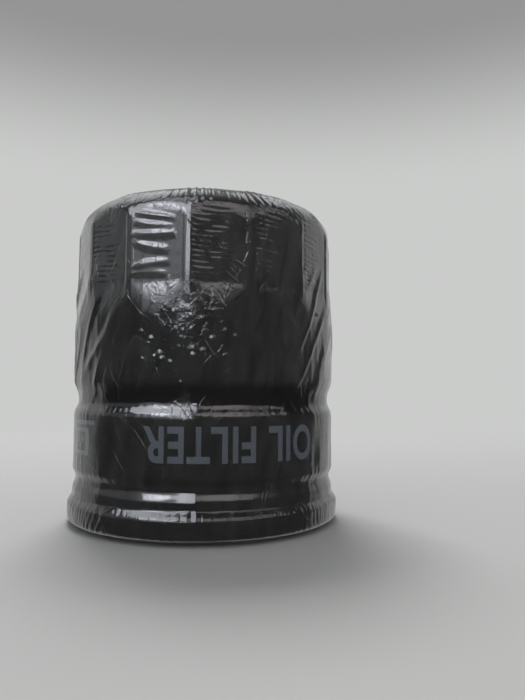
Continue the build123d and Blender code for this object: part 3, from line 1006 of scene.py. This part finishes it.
def coil(name, bottom_r, top_r, wire, bottom_z, top_z, turns, dead_turns=0.9):
    """Round wire wound on a cylinder or cone, with a closed coil at each end. The wire's middle starts
    and ends a whole wire inside bottom_z and top_z, so its surface stops half a wire short of them."""
    total = turns + 2 * dead_turns
    count = int(total * 64)
    share = np.linspace(0, total, count)
    rise = np.clip((share - dead_turns) / turns, 0, 1)
    first = np.clip(share / dead_turns, 0, 1)
    last = np.clip((share - total + dead_turns) / dead_turns, 0, 1)
    creep = 0.5 * wire * (first + last - 1)
    middle_z = (bottom_z + top_z) / 2 + (top_z - bottom_z - 3 * wire) * (rise - 0.5) + creep
    rise_r = bottom_r + (top_r - bottom_r) * rise
    line = on_axis(rise_r, middle_z, share * 360)
    ahead = np.gradient(line, axis=0)
    ahead /= np.linalg.norm(ahead, axis=1)[:, None]
    out = np.cross(ahead, np.array([0, 0, 1.0]))
    out /= np.linalg.norm(out, axis=1)[:, None]
    over = np.cross(out, ahead)
    sides = 14
    points = []
    for i in range(count):
        for k in range(sides):
            turn = 2 * math.pi * k / sides
            points.append(line[i] + wire / 2 * (math.cos(turn) * out[i] + math.sin(turn) * over[i]))
    faces = []
    for a in range(0, (count - 1) * sides, sides):
        for k in range(sides):
            after = (k + 1) % sides
            faces.append([a + k, a + after, a + sides + after, a + sides + k])
    faces.append(list(range(sides))[::-1])
    faces.append([(count - 1) * sides + k for k in range(sides)])
    return sharp_at(mesh_object(name, points, faces), 60)


def lid_material():
    """Zinc-plated sheet, enamelled black like the can outside the gasket's channel."""
    n = Nodes("lid_sheet")
    radius = n.polar()[0]
    painted = n.between(radius, (LID_PAINT_R - 0.3) * MM, LID_PAINT_R * MM)
    stain = n.noise(3.0, 4.0)
    zinc = n.ramp(stain, (0.3, grey(0.36, (1.0, 0.99, 0.95))), (0.7, grey(0.52)))
    n.set(Base_Color=n.mix(painted, zinc, grey(0.011)), Metallic=n.minus(1.0, painted))
    dull = n.ramp(n.noise(1.5, 3.0), (0.3, grey(0.20)), (0.75, grey(0.34)))
    gloss = n.ramp(n.noise(4.0, 3.0), (0.3, grey(0.08)), (0.75, grey(0.14)))
    n.set(Roughness=n.mix(painted, dull, gloss))
    n.set(Normal=n.bump(n.noise(1.6, 2.0), 0.015, 0.25))
    return n.material


BLACK = enamel()
FILM = film_material()
RUBBER = rubber()
SILICONE = rubber("red_brown_silicone", (0.30, 0.065, 0.03, 1))
INK = ink()
PLATE = steel("oiled_plate_steel", 0.40, 0.30)
TINPLATE = steel("tinplate", 0.62, 0.22, 5.0)
TUBE = steel("tube_strip_steel", 0.48, 0.30, 2.0)
WIRE = steel("drawn_spring_wire", 0.38, 0.26, 1.2)
PAPER = paper()
GLUE = glue()

dress(make_can(), BLACK, "housing", "can")
dress(make_film(), FILM, "housing", "shrink_film")
words = lettering("OIL FILTER")
words = printed("band_print", words, PRINT_FROM_DEG, PRINT_TO_DEG, PRINT_LOW_Z, PRINT_CAP_H)
dress(words, INK, "housing")
sign = oil_drop_sign()
sign = printed("band_sign", sign, SIGN_FROM_DEG, SIGN_TO_DEG, PRINT_LOW_Z + SIGN_UP, PRINT_CAP_H)
dress(sign, INK, "housing")
dress(make_gasket(), RUBBER, "housing", "gasket")
dress(make_base_plate(), PLATE, "housing", "base_plate")
valve = dress(make_anti_drain_valve(), SILICONE, node="anti_drain_valve")
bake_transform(valve)
dress(make_lower_end_cap(), TINPLATE, "element", "lower_end_cap")
dress(make_upper_end_cap(), TINPLATE, "element", "upper_end_cap")
dress(make_pleated_media(), PAPER, "element", "pleated_media")
upper_coil = coil("support_coil", *SUPPORT_SPRING, SUPPORT_TURNS)
dress(upper_coil, WIRE, "housing", "support_spring")
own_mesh(upper_coil)
lower_coil = coil("bypass_coil", *BYPASS_SPRING, BYPASS_TURNS)
dress(lower_coil, WIRE, "element", "bypass_spring")
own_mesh(lower_coil)

for node, material in {
    "seaming_lid": lid_material(),
    "seam_compound": rubber("cured_seam_compound", (0.16, 0.14, 0.11, 1)),
    "center_tube": TUBE,
    "lower_glue_ring": GLUE,
    "upper_glue_ring": GLUE,
    "media_seam_clip": TINPLATE,
    "bypass_plate": TINPLATE,
    "bypass_seal": RUBBER,
    "bypass_stem": TINPLATE,
    "bypass_cage": TINPLATE,
}.items():
    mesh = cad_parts[node].data
    mesh.materials.clear()
    mesh.materials.append(material)


# ==== Stage, light and camera ====


def make_stage():
    """A pale floor that curves up into a round wall, far out on every side."""
    corners = [((0.0, 0.0), 0), ((FLOOR_REACH, 0.0), FLOOR_BEND), ((FLOOR_REACH, FLOOR_REACH), 0)]
    section = spaced(rounded(corners, 60), 100)
    section[:, 1] -= 0.02
    floor = lathe("stage_floor", section, 96, closed_section=False)
    n = Nodes("pale_floor")
    radius, height, _ = n.polar()
    mottle = n.ramp(n.noise(500, 3.0), (0.3, grey(0.46)), (0.7, grey(0.49, (1, 1, 0.985))))
    n.set(Base_Color=mottle, Roughness=0.9)
    # The floor fades into a glow from 0.12 to 0.55 m out, and the far wall glows by itself, so that no
    # horizon shows; the glow dims towards the top as painted shade.
    fall = {0: height, 1: 0.95, 2: 1.75, 3: 0.60, 4: 0.30}
    dim = n.add("ShaderNodeMapRange", fall, interpolation_type="SMOOTHSTEP").outputs[0]
    glow = n.add("ShaderNodeEmission", {"Color": grey(1.0, (0.985, 1.0, 0.985)), "Strength": dim})
    far = n.between(radius, 0.12, 0.55)
    look = n.add("ShaderNodeMixShader", {0: far, 1: n.shader.outputs[0], 2: glow.outputs[0]})
    n.surface(look.outputs[0])
    floor.data.materials.append(n.material)
    floor.visible_glossy = False


def panel_level(azimuth, elevation):
    """The colour that mirrors see in each direction: the studio's soft boxes round a dark front."""
    def between(x, low, high, soft, soft_high):
        return step_up(x, low - soft, low + soft) * (1 - step_up(x, high - soft_high, high + soft_high))

    def box(left, right, low, high, soft):
        """A soft-edged rectangle whose right edge is sharp."""
        return between(azimuth, left, right, soft, 1.0) * between(elevation, low, high, soft, soft)

    def lens(centre, half_width, middle, half_height):
        """A soft-edged oval."""
        away = ((azimuth - centre) / half_width) ** 2 + ((elevation - middle) / half_height) ** 2
        return 1 - step_up(np.sqrt(away), 0.86, 1.06)

    cool = np.array((0.93, 0.96, 1.05))
    pink = np.array((1.0, 0.93, 0.92))
    plain = np.array((0.98, 1.0, 0.98))

    # In front on the left: the large box, cut off on its right, and smaller ones round it.
    main = lens(-27, 60, 39, 13) * (1 - step_up(azimuth, -14, -11))
    low = box(-108, -24, 10.5, 28, 3) * (0.3 + 0.7 * step_up(azimuth, -62, -44))
    sky = box(-72, -8, 56, 74, 5)
    strip = box(-24, -12, 10, 30, 2)
    glint = lens(-43, 9, 29, 9)

    # In front on the right: a pink reflection that fades outwards, and a faint box.
    second = lens(32, 42, 34, 14) * (1.25 - 0.8 * step_up(azimuth, 18, 58))
    third = box(57, 73, 24, 38, 4)

    # Behind: slatted light high up on both sides, the pale wall and the ceiling.
    slats = 0.35 + 0.65 * (0.5 + 0.5 * np.cos(math.tau * azimuth / 8))
    behind = (box(-168, -84, 49, 73, 4) * 1.9 + box(84, 165, 49, 73, 4) * 1.7) * slats
    aside = np.abs(azimuth - 2)
    wall = step_up(aside, 100, 113) * (1 - 0.62 * step_up(np.abs(azimuth), 150, 174))
    wall = wall * (0.72 + 0.28 * step_up(elevation, 5, 12))
    ceiling = step_up(elevation, 62, 80) * (0.1 + 0.2 * step_up(aside, 70, 120))

    level = np.maximum(np.maximum(3.6 * main, 0.85 * low), np.maximum(4.0 * strip, 1.9 * sky))
    level = level + 4.0 * glint + behind + 0.6 * third
    colour = level[..., None] * cool + (0.85 * second)[..., None] * pink
    return colour + (0.06 + np.maximum(0.54 * wall, ceiling))[..., None] * plain


def make_panels():
    """A sphere that only mirrors see, glowing where the studio's soft boxes are."""
    columns, rows = 360, 150
    azimuth = around(columns)[None, :]
    elevation = np.linspace(-88, 88, rows)[:, None]
    slope = np.radians(elevation)
    grid = on_axis(PANELS_R * np.cos(slope), PANELS_R * np.sin(slope), azimuth)
    grid[..., 2] += PANELS_Z
    sphere = turned("stage_panels", grid)
    level = panel_level(*np.broadcast_arrays(azimuth, elevation))
    rgba = np.concatenate([level, np.ones(level.shape[:2] + (1,))], axis=-1)
    layer = sphere.data.color_attributes.new("glow", "FLOAT_COLOR", "POINT")
    layer.data.foreach_set("color", rgba.reshape(-1).astype(np.float32))
    n = Nodes("soft_box_glow")
    colour = n.add("ShaderNodeAttribute", attribute_name="glow").outputs["Color"]
    n.surface(n.add("ShaderNodeEmission", {"Color": colour}).outputs[0])
    n.material.cycles.emission_sampling = "NONE"
    sphere.data.materials.append(n.material)
    for seen in ("camera", "diffuse", "transmission", "volume_scatter", "shadow"):
        setattr(sphere, "visible_" + seen, False)


def area_light(name, azimuth, elevation, distance, side, power):
    """A soft square panel, distance metres off, that faces the filter and that mirrors don't see."""
    data = bpy.data.lights.new(name, "AREA")
    data.shape = "RECTANGLE"
    data.size = side
    data.size_y = side
    data.energy = power
    light = bpy.data.objects.new(name, data)
    a, e = math.radians(azimuth), math.radians(elevation)
    away = Vector((math.sin(a) * math.cos(e), -math.cos(a) * math.cos(e), math.sin(e)))
    light.location = away * distance + Vector((0, 0, 0.045))
    light.rotation_mode = "QUATERNION"
    light.rotation_quaternion = away.to_track_quat("Z", "Y")
    light.visible_camera = False
    light.visible_glossy = False
    bpy.context.scene.collection.objects.link(light)


def make_world():
    """Even pale light from all round."""
    world = bpy.data.worlds.new("studio")
    bpy.context.scene.world = world
    world.use_nodes = True
    even = world.node_tree.nodes["Background"]
    even.inputs["Color"].default_value = (0.97, 1.0, 0.98, 1)
    even.inputs["Strength"].default_value = 0.46


def make_camera():
    """The viewing angle of the reference: level with the filter, close, and turned a little right."""
    data = bpy.data.cameras.new("camera")
    data.sensor_width = 36.0
    data.lens = CAMERA_LENS
    data.clip_start = 0.01
    camera = bpy.data.objects.new("camera", data)
    yaw = Matrix.Rotation(-math.radians(CAMERA_YAW), 4, "Z")
    pitch = Matrix.Rotation(math.pi / 2 + math.radians(CAMERA_PITCH), 4, "X")
    roll = Matrix.Rotation(math.radians(CAMERA_ROLL), 4, "Z")
    place = Matrix.Translation([x * MM for x in CAMERA_AT])
    camera.matrix_world = place @ (yaw @ pitch @ roll)
    bpy.context.scene.collection.objects.link(camera)
    bpy.context.scene.camera = camera


make_stage()
make_world()
make_panels()
area_light("key", azimuth=-170, elevation=62, distance=1.2, side=0.45, power=12.0)
make_camera()
bpy.context.scene.view_settings.view_transform = "Standard"
